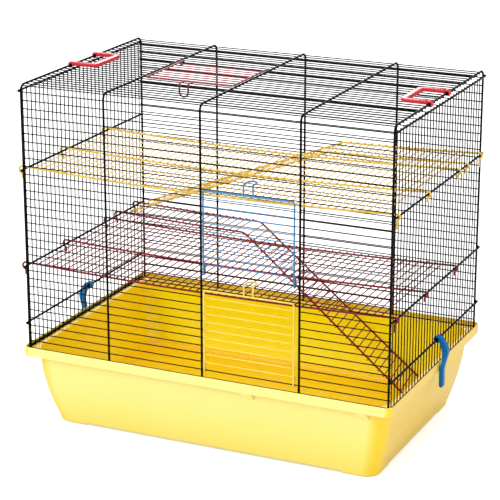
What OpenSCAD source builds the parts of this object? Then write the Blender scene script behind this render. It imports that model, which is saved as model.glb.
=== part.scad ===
// Pet cage: a wire cage with two shelves, three doors, two handles and two clips on a deep tray.
// Millimetres. +X runs along the length to the right, the front faces -Y, +Z is up.
// The origin is on the ground, under the middle of the tray.

/* [Tray] */
// Length of the tray over its rim
tray_l = 500; // [440:5:600]
// Width of the tray over its rim
tray_w = 330; // [300:5:400]
// Height of the rim's lip above the ground
tray_h = 107; // [90:1:140]
// Thickness of the tray's wall
tray_wall = 2; // [1.5:0.1:3]
// Thickness of the tray's floor
floor_t = 2; // [1.5:0.1:3]
// Height of the floor's top above the ground
floor_z = 13; // [8:0.5:20]
// Height of the rim's outer band
rim_band = 12; // [8:0.5:18]
// Thickness of the lip and of the rim's band
lip_t = 1.8; // [1.2:0.1:2.4]
// Height of the lip above the ledge that carries the cage
lip_rise = 4.7; // [3:0.1:7]
// Width of the rim from its outer face to the top of the wall
ledge_w = 9.6; // [9:0.1:14]
// How far the wall leans in from its top to its base
wall_lean = 18.4; // [8:0.2:24]
// Radius of the rim's corners in plan
rim_r = 10; // [6:0.5:16]
// Radius of the wall's corners at its top
wall_r = 25; // [18:0.5:40]
// Radius of the wall's corners at its base
base_r = 20; // [14:0.5:35]
// How strongly the wall bows out on its way up, 1 being straight
wall_bow = 1.8; // [1.2:0.1:2.4]
// Radius that rounds the wall into the base
base_round = 4.5; // [3:0.1:6]
// Radius of the fillet between the wall and the floor
floor_fillet = 5; // [3:0.1:8]
// Height of the feet under the four corners
foot_h = 2; // [1:0.1:4]
// Length of a foot along each side from the corner
foot_l = 24; // [10:1:50]

/* [Wires] */
// Diameter of the hoops and of the side panels' level wires
thick_d = 2.8; // [2.2:0.1:3.2]
// Diameter of the thin mesh wires
thin_d = 1.5; // [1.2:0.1:1.8]
// Diameter of the shelves' long wires
shelf_d = 2.6; // [2:0.1:3]
// Diameter of the doors' frame wires
door_d = 2.2; // [1.8:0.1:2.6]
// Depth by which two welded wires run into each other
weld = 0.25; // [0.2:0.05:0.4]

/* [Cage] */
// Height of the hoops' roof wire above the ground
roof_z = 446; // [420:1:500]
// Distance between the three inner hoops
hoop_gap = 129; // [126:0.5:140]
// Radius of the hoops' roof corners
hoop_bend = 8; // [6:0.5:12]
// Pitch of the thin wires at the front, at the back and on the roof
mesh_pitch = 10.44; // [10:0.02:11]
// Drop from the roof wire to the highest thin wire at the front
mesh_top_drop = 9.1; // [8.9:0.1:11]
// Pitch of the thin wires on the side panels
side_pitch = 10.1; // [9.8:0.1:11]
// Gap between the front hoops and the tray's lip
front_gap = 4.7; // [3.5:0.1:8]
// Drop from the roof wire to the side panels' highest level wire
side_top_drop = 7.2; // [6.5:0.1:9]
// How far the side panels' thin wires stand past their highest level wire
side_overrun = 1.5; // [1:0.1:2]
// Height of the level wire that carries the clips
clip_wire_z = 137.4; // [130:0.2:150]

/* [Shelves] */
// Height of the level wires that carry the upper shelf
upper_level_z = 337.6; // [320:0.2:350]
// Height of the level wires that carry the lower shelf
lower_level_z = 212.2; // [190:0.2:230]
// Pitch of the shelves' cross wires
shelf_pitch = 10; // [9:0.1:12]
// How far the cross wires stand past the outer long wires
shelf_overhang = 1.8; // [1:0.1:3]
// Length of the upper landing, from the right side panel to its bend
upper_landing_l = 182; // [150:1:200]
// Length of the lower landing, from the left side panel to its bend
lower_landing_l = 183; // [150:1:200]
// Horizontal length of the upper ramp
upper_ramp_l = 290; // [240:1:292]
// Horizontal length of the lower ramp
lower_ramp_l = 234; // [200:1:250]
// Rise of the lower ramp's back foot, which rests on the tray's leaning wall
back_foot_rise = 12; // [8:0.5:16]
// Length of the straight tail under an outer hook of a shelf
outer_tail = 9; // [4:0.5:14]
// Length of the straight tail under an inner hook of a shelf
inner_tail = 4; // [2:0.5:10]

/* [Doors] */
// Width of a door between its frame wires' middles
door_w = 118.5; // [112:0.5:120]
// Mesh rows that a door spans
door_rows = 10; // [9:1:10]
// Shift of the two front doors from the middle of their bay
front_door_shift = -1.95; // [-2.5:0.05:2.5]
// How far a door's top wire lies under the mesh wire that it closes on
door_top_drop = 1; // [0.5:0.1:2]
// Radius of a door's top corners
door_corner = 3; // [2:0.5:10]
// Spacing of the two legs of a door's latch
latch_w = 12; // [9:0.5:16]
// How far the latch reaches into the cage
latch_reach = 14; // [11:0.5:18]
// Height of the inner legs of a door's hinge curls
curl_leg = 10; // [6:0.5:12]

/* [Handles and clips] */
// Distance from a handle's hinge to the middle of its grip
handle_reach = 33.5; // [30:0.5:50]
// Width of the grip bar
grip_w = 8; // [6:0.1:10]
// Thickness of the handle
handle_t = 5; // [4:0.1:6]
// Width of a handle's arms
arm_w = 6; // [5:0.1:6.8]
// Outer radius of the hooks of the handles and clips
hook_r = 4.8; // [4.3:0.1:5]
// Mesh rows between a handle's two hooks
handle_rows = 6; // [4:2:8]
// Thickness of a clip's arm at its belly
clip_t = 7; // [6:0.1:8]
// Length of a clip's thumb tab under the rim
tab_l = 20.5; // [14:0.5:24]

/* [Fits] */
// Gap at rest between a wire and the seat that carries it
seat_gap = 0.3; // [0.2:0.05:0.5]
// Gap round a hinge wire inside a door's curl, and beside a wire that a door passes
door_gap = 0.3; // [0.2:0.05:0.5]
// Radial clearance of a hook on its wire
hook_fit = 0.1; // [0.05:0.01:0.1]
// Gap between a clip and the tray's rim
clip_gap = 0.3; // [0.2:0.05:0.5]

/* [Hidden] */

// Sides of the prisms that stand for thick and door wires, and for thin wires
thick_sides = 8;
thin_sides = 6;
// Segments of a true round bore or bend
round_fn = 48;

// Heights of the ledge, of the wires' feet on it, and of the wall's ends
ledge_z = tray_h - lip_rise;
wire_foot_z = ledge_z + seat_gap;
wall_top_z = ledge_z - tray_wall;
wall_low_z = foot_h + base_round;

// Distance between the middles of two welded wires, thick on thin and others
thick_thin = (thick_d + thin_d) / 2 - weld;
shelf_thin = (shelf_d + thin_d) / 2 - weld;
door_thin = (door_d + thin_d) / 2 - weld;

// The side panels' level wires pass outside the corner hoops and hook round them
level_off = thick_d + seat_gap;
level_x = tray_l / 2 - lip_t - seat_gap - thick_d / 2;
hoop_x = level_x - level_off;
hoop_y = tray_w / 2 - lip_t - front_gap - thick_d / 2;
side_thin_x = level_x - thick_thin;
side_top_z = roof_z - side_top_drop;
side_foot_level_z = wire_foot_z + thick_d / 2;
mesh_foot_level_z = wire_foot_z + (thin_d + weld) / 2;
side_levels = [side_top_z, upper_level_z, lower_level_z, clip_wire_z];
hoops = [-hoop_x, -hoop_gap, 0, hoop_gap, hoop_x];
// Thin wires end this far past the middle of the hoop that ends them
overrun = thick_d / 2;

// Thin wires of the front, back and roof, and of the sides
bend_z = roof_z - hoop_bend;
mesh_y = hoop_y - thick_thin;
mesh_z = roof_z - thick_thin;
mesh_top_z = roof_z - mesh_top_drop;
mesh_rows = floor((mesh_top_z - wire_foot_z) / mesh_pitch - 0.5) + 1;
roof_half = floor((hoop_y - thick_d) / mesh_pitch + 0.5);
roof_rows = 2 * roof_half;
side_half = floor((hoop_y - thick_d - thin_d) / side_pitch);
function front_z(row) = row < mesh_rows ? mesh_top_z - row * mesh_pitch : mesh_foot_level_z;
function roof_y(row) = (row - roof_half + 0.5) * mesh_pitch;

// Rows that the doors close on, and their hinge rows
upper_latch_row = 9;
lower_hinge_row = mesh_rows - 1;
lower_latch_row = lower_hinge_row - door_rows;
upper_hinge_row = upper_latch_row + door_rows;
roof_latch_row = roof_half - ceil(door_rows / 2) - 1;
roof_hinge_row = roof_latch_row + door_rows;
front_door_x = hoop_gap / 2 + front_door_shift;
roof_door_x = -hoop_gap / 2;

// The shelves' five long wires: the thin side wire in front of each, as a share of the way from
// the middle to the panel's edge, and how far behind that wire it runs, in pitches
shelf_shares = [-1, -1 / 3, 0.4, 0.6, 0.95];
shelf_steps = [0.25, 0.34, 0.28, 0.25, 0.5];
shelf_y = [for (i = [0 : 4]) (round(shelf_shares[i] * side_half) + shelf_steps[i]) * side_pitch];
upper_z = upper_level_z + (thick_d + shelf_d) / 2 + seat_gap;
lower_z = lower_level_z + (thick_d + shelf_d) / 2 + seat_gap;
cross_top = shelf_thin + thin_d / 2;
side_in_x = hoop_x - thick_d / 2;
upper_bend_x = side_in_x - upper_landing_l;
lower_bend_x = lower_landing_l - side_in_x;
// Radius of a shelf hook round its level wire, how far it turns in under that wire,
// and the radius of the counter bend below it
hook_path_r = (thick_d + shelf_d) / 2 + seat_gap;
hook_wrap = 60;
counter_r = 4;
// The counter bend is drawn a touch thinner and starts these degrees inside the hook
tail_d = shelf_d - 0.1;
tail_lap = 5;

// Feet of the two ramps: on the lower landing's cross wires, and on the tray's floor
upper_foot = [upper_bend_x - upper_ramp_l, lower_z + cross_top + seat_gap + shelf_d / 2];
lower_foot = [lower_bend_x + lower_ramp_l, floor_z + seat_gap + shelf_d / 2];
// The lower ramp is a little twisted: its back foot stands higher, against the leaning wall
back_foot_z = lower_foot.y + back_foot_rise;
back_foot_y = tray_w / 2 - wall_inset(back_foot_z - shelf_d / 2) - tray_wall - shelf_d / 2 - seat_gap;

// Door sizes
door_off = (thin_d + door_d) / 2 + door_gap;
door_h = door_rows * mesh_pitch - door_top_drop;
latch_h = (door_rows + 1) * mesh_pitch + (thin_d + door_d) / 2 + door_gap + weld;

// Handle and clip sizes
handle_span = handle_rows * mesh_pitch;
left_handle_y = 0;
right_handle_y = -mesh_pitch;
handle_low = mesh_z + thin_d / 2 + seat_gap - roof_z;
clip_w = side_pitch - thin_d - 2 * seat_gap;
clip_y = side_pitch / 2;
rim_low_z = tray_h - rim_band;
rim_from_hook = tray_l / 2 + clip_gap - level_x;
// Share of a wire's diameter left open as the mouth of its hooks, and where the mouths point
mouth_share = 0.85;
handle_mouth = -60;
clip_mouth = -120;

// Catmull-Rom curve through a list of points, with a few steps for each stretch
function curve_point(a, b, c, d, t) =
    0.5 * (2 * b + (c - a) * t + (2 * a - 5 * b + 4 * c - d) * t * t
        + (3 * b - a - 3 * c + d) * t * t * t);
function curve(pts, steps) = [
    for (i = [0 : len(pts) - 2])
        let (a = pts[max(i - 1, 0)], b = pts[i], c = pts[i + 1], d = pts[min(i + 2, len(pts) - 1)])
        for (s = [0 : steps - 1]) curve_point(a, b, c, d, s / steps),
    pts[len(pts) - 1]
];
function arc(c, r, a0, a1, steps) = [
    for (i = [0 : steps]) let (a = a0 + (a1 - a0) * i / steps) c + r * [cos(a), sin(a)]
];

// Straight wire between two points
module wire(a, b, d, sides) {
    v = b - a;
    translate(a)
        rotate([0, acos(v.z / norm(v)), atan2(v.y, v.x)])
            cylinder(h = norm(v), d = d, $fn = sides);
}

// Bend of a wire in the plane of local X and Y, centred on the origin
module bend(r, a0, a1, d, sides) {
    rotate([0, 0, a0])
        rotate_extrude(angle = a1 - a0, $fn = round_fn)
            translate([r, 0])
                circle(d = d, $fn = sides);
}

// Turns local X and Y into world X and Z, or into world Y and Z
module in_xz(x, y, z) {
    translate([x, y, z])
        rotate([90, 0, 0])
            children();
}
module in_yz(x, y, z) {
    translate([x, y, z])
        rotate([90, 0, 90])
            children();
}

module thin_x(x0, x1, y, z) {
    wire([x0, y, z], [x1, y, z], thin_d, thin_sides);
}

// Inset of the wall's outer face from the rim, at a height
function wall_inset(z) =
    ledge_w + wall_lean * pow((wall_top_z - z) / (wall_top_z - wall_low_z), wall_bow);

// Rows of the tray's skin from under the floor, round the rim, to the top of the floor.
// Each row is inset, height, corner radius and how much of the feet's drop it takes.
wall_steps = 8;
round_steps = 3;
foot_ring = 3;
base_inset = wall_inset(wall_low_z);
function wall_corner(z) = base_r + (wall_r - base_r) * (z - wall_low_z) / (wall_top_z - wall_low_z);
fillet_z = floor_z + floor_fillet;
tray_rows = concat(
    [
        [wall_inset(floor_z - floor_t) + tray_wall, floor_z - floor_t, base_r - tray_wall, 0],
        [base_inset + base_round + foot_ring, foot_h + base_round, base_r - base_round - foot_ring, 0],
        [base_inset + base_round + foot_ring, foot_h, base_r - base_round - foot_ring, 1]
    ],
    [
        for (i = [0 : round_steps]) let (a = 90 - 90 * i / round_steps)
            [
                base_inset + base_round * (1 - cos(a)),
                foot_h + base_round * (1 - sin(a)),
                base_r - base_round * (1 - cos(a)),
                sin(a)
            ]
    ],
    [
        for (i = [1 : wall_steps])
            let (z = wall_low_z + (wall_top_z - wall_low_z) * i / wall_steps)
            [wall_inset(z), z, wall_corner(z), 0]
    ],
    [
        [lip_t, wall_top_z, rim_r - lip_t, 0],
        [lip_t, tray_h - rim_band, rim_r - lip_t, 0],
        [0, tray_h - rim_band, rim_r, 0],
        [0, tray_h - lip_t / 3, rim_r, 0],
        [lip_t / 3, tray_h, rim_r - lip_t / 3, 0],
        [lip_t * 2 / 3, tray_h, rim_r - lip_t * 2 / 3, 0],
        [lip_t, tray_h - lip_t / 3, rim_r - lip_t, 0],
        [lip_t, ledge_z, rim_r - lip_t, 0],
        [ledge_w + tray_wall, ledge_z, wall_r - tray_wall, 0]
    ],
    [
        for (i = [1 : wall_steps])
            let (z = ledge_z - (ledge_z - fillet_z) * i / wall_steps)
            [wall_inset(min(z, wall_top_z)) + tray_wall, z, wall_corner(min(z, wall_top_z)) - tray_wall, 0]
    ],
    [
        for (i = [1 : round_steps]) let (a = 90 * i / round_steps)
            [
                wall_inset(fillet_z) + tray_wall + floor_fillet * (1 - cos(a)),
                floor_z + floor_fillet * (1 - sin(a)),
                wall_corner(fillet_z) - tray_wall - floor_fillet * (1 - cos(a)),
                0
            ]
    ]
);

// One row as a closed ring: a rounded rectangle with two more points at each foot's ends
corner_steps = 6;
foot_step = 1;
function tray_ring(row) = [
    for (q = [0 : 3])
        let (
            a0 = 90 * q,
            sx = (q == 0 || q == 3) ? 1 : -1,
            sy = q < 2 ? 1 : -1,
            c = [sx * (tray_l / 2 - row[0] - row[2]), sy * (tray_w / 2 - row[0] - row[2])],
            first = c + row[2] * [cos(a0), sin(a0)],
            last = c + row[2] * [-sin(a0), cos(a0)],
            along = [-sin(a0), cos(a0)],
            beyond = [-cos(a0), -sin(a0)],
            low = row[1] - row[3] * foot_h
        )
        each concat(
            [
                concat(first - (foot_l + foot_step) * along, row[1]),
                concat(first - foot_l * along, low)
            ],
            [for (p = arc(c, row[2], a0, a0 + 90, corner_steps)) concat(p, low)],
            [
                concat(last + foot_l * beyond, low),
                concat(last + (foot_l + foot_step) * beyond, row[1])
            ]
        )
];

module tray() {
    rings = [for (row = tray_rows) tray_ring(row)];
    n = len(rings[0]);
    m = len(rings);
    under_c = m * n;
    floor_c = m * n + 1;
    color("khaki")
        polyhedron(
            points = concat(
                [for (ring = rings) each ring],
                [[0, 0, tray_rows[0][1]], [0, 0, tray_rows[m - 1][1]]]
            ),
            faces = [
                for (i = [0 : n - 1])
                    let (k = (i + 1) % n)
                    each concat(
                        [[under_c, i, k], [floor_c, (m - 1) * n + k, (m - 1) * n + i]],
                        [
                            for (j = [0 : m - 2])
                                each [
                                    [j * n + i, (j + 1) * n + i, (j + 1) * n + k],
                                    [j * n + i, (j + 1) * n + k, j * n + k]
                                ]
                        ]
                    )
            ]
        );
}

// Legs of the hoops at the front or the back
module hoop_legs(xs, y) {
    for (x = xs)
        wire([x, y, wire_foot_z], [x, y, bend_z], thick_d, thick_sides);
}

// Level thin wires of one upright panel, for a list of rows
module mesh_level(rows, x0, x1, y) {
    for (row = rows)
        thin_x(x0, x1, y, front_z(row));
}

module front_left_grille() {
    color("black") {
        hoop_legs([hoops[0], hoops[1], hoops[2]], -hoop_y);
        mesh_level([0 : mesh_rows], hoops[0] - overrun, hoops[2] + overrun, -mesh_y);
    }
}

module front_right_grille() {
    color("black") {
        hoop_legs([hoops[3], hoops[4]], -hoop_y);
        mesh_level([0 : mesh_rows], hoops[3] - overrun, hoops[4] + overrun, -mesh_y);
    }
}

// Thin wires of the bay that holds the two front doors, for a list of rows
module door_bay_rows(rows) {
    color("black")
        mesh_level(rows, hoops[2] + overrun, hoops[3] - overrun, -mesh_y);
}

module front_top_grille() {
    door_bay_rows([0 : upper_latch_row]);
}

module front_mid_grille() {
    door_bay_rows([upper_hinge_row : lower_latch_row]);
}

module front_bottom_grille() {
    door_bay_rows([lower_hinge_row : mesh_rows]);
}

module back_grille() {
    color("black") {
        hoop_legs(hoops, hoop_y);
        mesh_level([0 : mesh_rows], hoops[0] - overrun, hoops[4] + overrun, mesh_y);
    }
}

// Roof stretches of the hoops, with their two corner bends
module hoop_roofs(xs) {
    flat_y = hoop_y - hoop_bend;
    for (x = xs) {
        wire([x, -flat_y, roof_z], [x, flat_y, roof_z], thick_d, thick_sides);
        in_yz(x, flat_y, bend_z)
            bend(hoop_bend, 0, 90, thick_d, thick_sides);
        in_yz(x, -flat_y, bend_z)
            bend(hoop_bend, 90, 180, thick_d, thick_sides);
    }
}

module roof_mesh(rows, x0, x1) {
    for (row = rows)
        thin_x(x0, x1, roof_y(row), mesh_z);
}

module roof_left_grille() {
    color("black") {
        hoop_roofs([hoops[0], hoops[1]]);
        roof_mesh([0 : roof_rows - 1], hoops[0] - overrun, hoops[1] + overrun);
    }
}

module roof_right_grille() {
    color("black") {
        hoop_roofs([hoops[2], hoops[3], hoops[4]]);
        roof_mesh([0 : roof_rows - 1], hoops[2] - overrun, hoops[4] + overrun);
    }
}

module roof_front_grille() {
    color("black")
        roof_mesh([0 : roof_latch_row], hoops[1] + overrun, hoops[2] - overrun);
}

module roof_back_grille() {
    color("black")
        roof_mesh([roof_hinge_row : roof_rows - 1], hoops[1] + overrun, hoops[2] - overrun);
}

// Level wire outside a side panel, with a quarter hook round each corner hoop
module level_wire(z) {
    wire([level_x, -hoop_y, z], [level_x, hoop_y, z], thick_d, thick_sides);
    translate([hoop_x, hoop_y, z])
        bend(level_off, 0, 90, thick_d, thick_sides);
    translate([hoop_x, -hoop_y, z])
        bend(level_off, 270, 360, thick_d, thick_sides);
}

module side_grille() {
    foot_half = side_half * side_pitch + thin_d;
    color("black") {
        for (k = [-side_half : side_half])
            wire(
                [side_thin_x, k * side_pitch, wire_foot_z],
                [side_thin_x, k * side_pitch, side_top_z + side_overrun],
                thin_d, thin_sides
            );
        for (z = side_levels)
            level_wire(z);
        wire(
            [level_x, -foot_half, side_foot_level_z],
            [level_x, foot_half, side_foot_level_z],
            thick_d, thick_sides
        );
    }
}

module right_side_grille() {
    side_grille();
}

module left_side_grille() {
    mirror([1, 0, 0])
        side_grille();
}

// Hook at the right end of a shelf wire: over the level wire, in under it, then down
module shelf_hook(y, z, tail) {
    turn_x = (hook_path_r + counter_r) * cos(hook_wrap);
    turn_z = -(hook_path_r + counter_r) * sin(hook_wrap);
    translate([level_x, y, z - hook_path_r]) {
        in_xz(0, 0, 0)
            mirror([1, 0, 0])
                bend(hook_path_r, 90, 180 + hook_wrap, shelf_d, thick_sides);
        translate([turn_x, 0, turn_z]) {
            in_xz(0, 0, 0)
                mirror([0, 1, 0])
                    bend(counter_r, 180, 180 + hook_wrap + tail_lap, tail_d, thick_sides);
            wire([-counter_r, 0, 0], [-counter_r, 0, -tail], tail_d, thick_sides);
        }
    }
}

// Long wires and cross wires of the part of a shelf that runs the whole length
module shelf_deck(z) {
    rows = [shelf_y[0], shelf_y[1], shelf_y[2]];
    cross_half = floor(side_in_x / shelf_pitch) - 1;
    for (i = [0 : 2]) {
        tail = i == 0 ? outer_tail : inner_tail;
        wire([-level_x, rows[i], z], [level_x, rows[i], z], shelf_d, thick_sides);
        shelf_hook(rows[i], z, tail);
        mirror([1, 0, 0])
            shelf_hook(rows[i], z, tail);
    }
    for (k = [-cross_half : cross_half])
        wire(
            [k * shelf_pitch, rows[0] - shelf_overhang, z + shelf_thin],
            [k * shelf_pitch, rows[2] + shelf_overhang, z + shelf_thin],
            thin_d, thin_sides
        );
}

// Space beyond the mitre plane of a bend, on the landing's side (1) or the ramp's side (-1)
module beyond_bend(bend_x, z, slope, side) {
    reach = 4 * shelf_d;
    deep = shelf_y[4] - shelf_y[3] + 2 * reach;
    translate([bend_x, shelf_y[3] - reach, z])
        rotate([0, -slope / 2, 0])
            translate([side > 0 ? 0 : -reach, 0, -reach / 2])
                cube([reach, deep, reach]);
}

// Landing beside the deck, from its bend to the right side
module shelf_landing(z, bend_x, slope) {
    first = ceil((bend_x + shelf_d) / shelf_pitch);
    last = floor(side_in_x / shelf_pitch) - 1;
    difference() {
        for (i = [3, 4])
            wire([bend_x - shelf_d, shelf_y[i], z], [level_x, shelf_y[i], z], shelf_d, thick_sides);
        beyond_bend(bend_x, z, slope, -1);
    }
    for (i = [3, 4])
        shelf_hook(shelf_y[i], z, i == 4 ? outer_tail : inner_tail);
    for (k = [first : last])
        wire(
            [k * shelf_pitch, shelf_y[2] + shelf_overhang, z + shelf_thin],
            [k * shelf_pitch, shelf_y[4] + shelf_overhang, z + shelf_thin],
            thin_d, thin_sides
        );
}

// Ramp that falls to the left from the bend to its foot, with its back wire ending at back_y, back_z
module shelf_ramp(z, bend_x, foot, slope, back_y, back_z) {
    up = [-sin(slope), 0, cos(slope)];
    tops = [for (i = [3, 4]) [bend_x, shelf_y[i], z]];
    feet = [[foot.x, shelf_y[3], foot.y], [foot.x, back_y, back_z]];
    run = norm(feet[0] - tops[0]);
    count = floor((run - shelf_d) / shelf_pitch);
    difference() {
        for (i = [0, 1]) {
            back = (tops[i] - feet[i]) / run * shelf_d;
            wire(tops[i] + back, feet[i], shelf_d, thick_sides);
        }
        beyond_bend(bend_x, z, slope, 1);
    }
    for (k = [0 : count - 1]) {
        t = (k + 0.5) * shelf_pitch / run;
        a = tops[0] + t * (feet[0] - tops[0]) + shelf_thin * up;
        b = tops[1] + t * (feet[1] - tops[1]) + shelf_thin * up;
        out = (b - a) / norm(b - a) * shelf_overhang;
        wire(a - out, b + out, thin_d, thin_sides);
    }
}

upper_slope = atan2(upper_z - upper_foot.y, upper_bend_x - upper_foot.x);
lower_slope = atan2(lower_z - lower_foot.y, lower_foot.x - lower_bend_x);

module upper_shelf_deck() {
    color("gold")
        shelf_deck(upper_z);
}

module upper_shelf_landing() {
    color("gold")
        shelf_landing(upper_z, upper_bend_x, upper_slope);
}

module upper_shelf_ramp() {
    color("gold")
        shelf_ramp(upper_z, upper_bend_x, upper_foot, upper_slope, shelf_y[4], upper_foot.y);
}

module lower_shelf_deck() {
    color("firebrick")
        shelf_deck(lower_z);
}

module lower_shelf_landing() {
    color("firebrick")
        mirror([1, 0, 0])
            shelf_landing(lower_z, -lower_bend_x, lower_slope);
}

module lower_shelf_ramp() {
    color("firebrick")
        mirror([1, 0, 0])
            shelf_ramp(
                lower_z, -lower_bend_x, [-lower_foot.x, lower_foot.y], lower_slope,
                back_foot_y, back_foot_z
            );
}

// Door lying in the plane of X and Y: hinge wire on the X axis, latch towards +Y, outside +Z
module door() {
    half = door_w / 2;
    latch_half = latch_w / 2;
    for (s = [-1, 1]) {
        wire([s * half, 0, door_off], [s * half, door_h - door_corner, door_off], door_d, thick_sides);
        in_yz(s * half, 0, 0)
            bend(door_off, 90, 270, door_d, thick_sides);
        wire([s * half, 0, -door_off], [s * half, curl_leg, -door_off], door_d, thick_sides);
        wire(
            [s * latch_half, door_h, door_off],
            [s * latch_half, latch_h - door_off, door_off],
            door_d, thick_sides
        );
        in_yz(s * latch_half, latch_h - door_off, 0)
            bend(door_off, 0, 90, door_d, thick_sides);
        wire(
            [s * latch_half, latch_h, 0],
            [s * latch_half, latch_h, latch_half - latch_reach],
            door_d, thick_sides
        );
    }
    translate([half - door_corner, door_h - door_corner, door_off])
        bend(door_corner, 0, 90, door_d, thick_sides);
    translate([door_corner - half, door_h - door_corner, door_off])
        bend(door_corner, 90, 180, door_d, thick_sides);
    wire(
        [door_corner - half, door_h, door_off],
        [half - door_corner, door_h, door_off],
        door_d, thick_sides
    );
    in_xz(0, latch_h, latch_half - latch_reach)
        bend(latch_half, 180, 360, door_d, thick_sides);
    for (row = [1 : door_rows - 1])
        thin_x(-half - thin_d / 2, half + thin_d / 2, row * mesh_pitch, door_off - door_thin);
}

module front_door(row) {
    translate([front_door_x, -mesh_y, front_z(row)])
        rotate([90, 0, 0])
            door();
}

module upper_front_door() {
    color("steelblue")
        front_door(upper_hinge_row);
}

module lower_front_door() {
    color("khaki")
        front_door(lower_hinge_row);
}

module roof_door() {
    color("crimson")
        translate([roof_door_x, roof_y(roof_hinge_row), mesh_z])
            rotate([0, 0, 180])
                door();
}

// Snap hook round a wire along Y at the origin, open towards an angle in the plane of X and Z
module snap_hook(w, open_angle) {
    mouth = thick_d * mouth_share;
    difference() {
        rotate([90, 0, 0])
            cylinder(h = w, r = hook_r, center = true, $fn = round_fn);
        rotate([90, 0, 0])
            cylinder(h = w + 1, d = thick_d + 2 * hook_fit, center = true, $fn = round_fn);
        rotate([0, -open_angle, 0])
            translate([0, -w / 2 - 0.5, -mouth / 2])
                cube([hook_r + 1, w + 1, mouth]);
    }
}

// Handle that reaches towards +X from its hinge wire along Y at the origin
module handle() {
    sunk = 1;
    arm_in = sqrt(hook_r * hook_r - handle_low * handle_low) - sunk;
    end_x = handle_reach + grip_w / 2;
    side_y = (handle_span + arm_w) / 2;
    corner = arm_w / 2;
    outline = concat(
        [[arm_in, -side_y]],
        arc([end_x - corner, corner - side_y], corner, 270, 360, 5),
        arc([end_x - corner, side_y - corner], corner, 0, 90, 5),
        [[arm_in, side_y], [arm_in, side_y - arm_w]],
        [
            [handle_reach - grip_w / 2, side_y - arm_w],
            [handle_reach - grip_w / 2, arm_w - side_y],
            [arm_in, arm_w - side_y]
        ]
    );
    translate([0, 0, handle_low])
        linear_extrude(height = handle_t)
            polygon(outline);
    for (s = [-1, 1])
        translate([0, s * handle_span / 2, 0])
            snap_hook(arm_w, handle_mouth);
}

module left_handle() {
    color("tomato")
        translate([-hoop_x, left_handle_y, roof_z])
            handle();
}

module right_handle() {
    color("tomato")
        translate([hoop_x, right_handle_y, roof_z])
            mirror([1, 0, 0])
                handle();
}

// Clip with its hinge wire along Y at the origin, arm outside towards +X, tab under the rim's foot.
// The two sides of the arm are curves through a few points, measured from the hinge wire.
module clip() {
    rim_foot = rim_low_z - clip_wire_z;
    belly_x = rim_from_hook + clip_t + 3.8;
    tab_x = rim_from_hook + clip_t - 1.4;
    tab_r = (clip_t - 1.6) / 2;
    end_c = [tab_x - tab_r, rim_foot - tab_l + tab_r];
    outside = curve([
        [1, hook_r - 0.2],
        [4.2, hook_r - 1.4],
        [belly_x - 7, 0.8],
        [belly_x - 2.4, -6.7],
        [belly_x, -13],
        [belly_x, -17.4],
        [belly_x - 2, -25.6],
        [tab_x + 1, rim_foot + 7.5],
        [tab_x, rim_foot + 0.6],
        [tab_x + 0.2, end_c.y + 7],
        [tab_x, end_c.y]
    ], 4);
    inside = curve([
        [tab_x - 2 * tab_r, end_c.y],
        [rim_from_hook + 0.1, rim_foot - 7.5],
        [rim_from_hook, rim_foot - 3],
        [rim_from_hook + 0.4, rim_foot + 2.5],
        [rim_from_hook + 1.4, rim_foot + 7.5],
        [belly_x - clip_t - 0.7, -27.8],
        [belly_x - clip_t, -21.1],
        [belly_x - clip_t - 0.7, -15.6],
        [belly_x - clip_t - 2.6, -9.3],
        [2.8, -3.6]
    ], 4);
    difference() {
        rotate([90, 0, 0])
            linear_extrude(height = clip_w, center = true)
                polygon(concat(outside, arc(end_c, tab_r, -20, -160, 7), inside));
        rotate([90, 0, 0])
            cylinder(h = clip_w + 1, d = thick_d + 2 * hook_fit, center = true, $fn = round_fn);
    }
    snap_hook(clip_w, clip_mouth);
}

module right_clip() {
    color("royalblue")
        translate([level_x, clip_y, clip_wire_z])
            clip();
}

module left_clip() {
    color("royalblue")
        translate([-level_x, clip_y, clip_wire_z])
            mirror([1, 0, 0])
                clip();
}

tray();
front_left_grille();
front_right_grille();
front_top_grille();
front_mid_grille();
front_bottom_grille();
roof_left_grille();
roof_right_grille();
roof_front_grille();
roof_back_grille();
back_grille();
left_side_grille();
right_side_grille();
upper_shelf_deck();
upper_shelf_landing();
upper_shelf_ramp();
lower_shelf_deck();
lower_shelf_landing();
lower_shelf_ramp();
upper_front_door();
lower_front_door();
roof_door();
left_handle();
right_handle();
left_clip();
right_clip();
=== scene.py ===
# Pet cage: round coated wires, moulded tray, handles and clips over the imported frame.
# Sizes are in millimetres, in the frame's own axes, and become metres when a mesh is made.
import math

import bpy
import numpy as np
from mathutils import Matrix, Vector


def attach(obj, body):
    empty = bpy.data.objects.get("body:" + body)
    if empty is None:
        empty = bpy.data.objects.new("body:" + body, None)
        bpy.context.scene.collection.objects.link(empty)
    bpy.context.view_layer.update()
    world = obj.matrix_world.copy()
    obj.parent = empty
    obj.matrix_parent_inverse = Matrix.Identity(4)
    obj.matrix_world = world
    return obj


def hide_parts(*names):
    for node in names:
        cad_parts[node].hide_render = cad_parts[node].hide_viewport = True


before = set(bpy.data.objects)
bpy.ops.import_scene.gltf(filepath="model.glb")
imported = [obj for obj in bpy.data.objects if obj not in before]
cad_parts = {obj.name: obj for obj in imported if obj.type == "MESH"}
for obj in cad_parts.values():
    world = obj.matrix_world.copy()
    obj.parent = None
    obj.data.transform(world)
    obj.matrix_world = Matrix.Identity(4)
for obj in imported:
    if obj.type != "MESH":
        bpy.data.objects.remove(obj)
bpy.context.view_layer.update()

# Sizes shared by the pieces

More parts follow.
